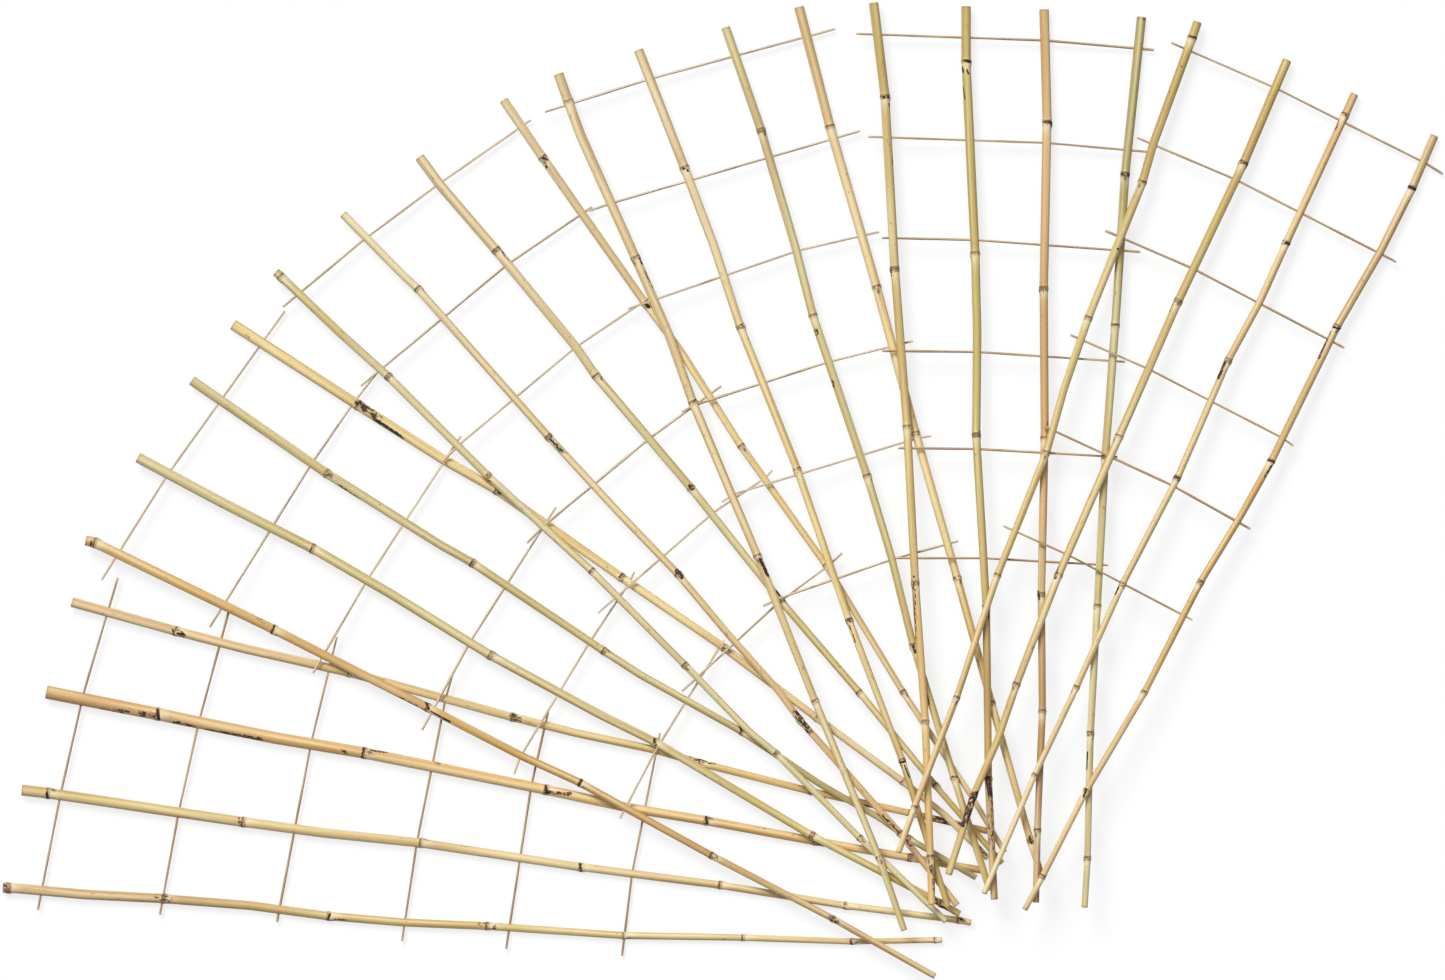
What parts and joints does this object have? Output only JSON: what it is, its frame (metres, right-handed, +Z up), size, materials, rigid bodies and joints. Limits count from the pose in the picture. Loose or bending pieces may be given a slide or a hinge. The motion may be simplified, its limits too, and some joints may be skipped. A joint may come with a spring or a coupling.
{
  "type": "fan trellis set",
  "caption": "Bamboo fan trellises: tapered canes spread on thin cross rods run through drilled holes, feet bunched together, laid flat in a wide overlapping fan.",
  "frame": {"origin": "on the floor under the middle of the box round the whole set as it lies", "axes": "+X along the set to the side of the topmost trellis, +Y away from the bunched feet towards the thick cane ends, +Z up off the floor"},
  "size_m": [1.4408, 0.9762, 0.0506],
  "materials": {
    "straw_cane": "satin",
    "green_cane": "satin",
    "tan_cane": "satin",
    "honey_cane": "satin",
    "yellow_cane": "satin",
    "split_rod": "matte"
  },
  "bodies": {
    "trellis_1": {"trellis_1_cane_a": "straw_cane", "trellis_1_cane_b": "straw_cane", "trellis_1_cane_c": "tan_cane", "trellis_1_cane_d": "straw_cane", "trellis_1_rod_1": "split_rod", "trellis_1_rod_2": "split_rod", "trellis_1_rod_3": "split_rod", "trellis_1_rod_4": "split_rod", "trellis_1_rod_5": "split_rod", "trellis_1_rod_6": "split_rod"},
    "trellis_2": {"trellis_2_cane_a": "honey_cane", "trellis_2_cane_b": "green_cane", "trellis_2_cane_c": "green_cane", "trellis_2_cane_d": "yellow_cane", "trellis_2_rod_1": "split_rod", "trellis_2_rod_2": "split_rod", "trellis_2_rod_3": "split_rod", "trellis_2_rod_4": "split_rod", "trellis_2_rod_5": "split_rod", "trellis_2_rod_6": "split_rod"},
    "trellis_3": {"trellis_3_cane_a": "green_cane", "trellis_3_cane_b": "tan_cane", "trellis_3_cane_c": "straw_cane", "trellis_3_cane_d": "straw_cane", "trellis_3_rod_1": "split_rod", "trellis_3_rod_2": "split_rod", "trellis_3_rod_3": "split_rod", "trellis_3_rod_4": "split_rod", "trellis_3_rod_5": "split_rod", "trellis_3_rod_6": "split_rod"},
    "trellis_4": {"trellis_4_cane_a": "straw_cane", "trellis_4_cane_b": "tan_cane", "trellis_4_cane_c": "green_cane", "trellis_4_cane_d": "straw_cane", "trellis_4_rod_1": "split_rod", "trellis_4_rod_2": "split_rod", "trellis_4_rod_3": "split_rod", "trellis_4_rod_4": "split_rod", "trellis_4_rod_5": "split_rod", "trellis_4_rod_6": "split_rod"},
    "trellis_5": {"trellis_5_cane_a": "straw_cane", "trellis_5_cane_b": "green_cane", "trellis_5_cane_c": "tan_cane", "trellis_5_cane_d": "green_cane", "trellis_5_rod_1": "split_rod", "trellis_5_rod_2": "split_rod", "trellis_5_rod_3": "split_rod", "trellis_5_rod_4": "split_rod", "trellis_5_rod_5": "split_rod", "trellis_5_rod_6": "split_rod"},
    "trellis_6": {"trellis_6_cane_a": "straw_cane", "trellis_6_cane_b": "green_cane", "trellis_6_cane_c": "tan_cane", "trellis_6_cane_d": "tan_cane", "trellis_6_rod_1": "split_rod", "trellis_6_rod_2": "split_rod", "trellis_6_rod_3": "split_rod", "trellis_6_rod_4": "split_rod", "trellis_6_rod_5": "split_rod", "trellis_6_rod_6": "split_rod"}
  },
  "joints": [
    {"name": "lift_trellis_2", "type": "slide", "parent": "trellis_1", "child": "trellis_2", "axis": [0, 0, 1], "range_m": [0, 0.12]},
    {"name": "lift_trellis_3", "type": "slide", "parent": "trellis_2", "child": "trellis_3", "axis": [0, 0, 1], "range_m": [0, 0.12]},
    {"name": "lift_trellis_4", "type": "slide", "parent": "trellis_3", "child": "trellis_4", "axis": [0, 0, 1], "range_m": [0, 0.12]},
    {"name": "lift_trellis_5", "type": "slide", "parent": "trellis_4", "child": "trellis_5", "axis": [0, 0, 1], "range_m": [0, 0.12]},
    {"name": "lift_trellis_6", "type": "slide", "parent": "trellis_5", "child": "trellis_6", "axis": [0, 0, 1], "range_m": [0, 0.12]}
  ]
}
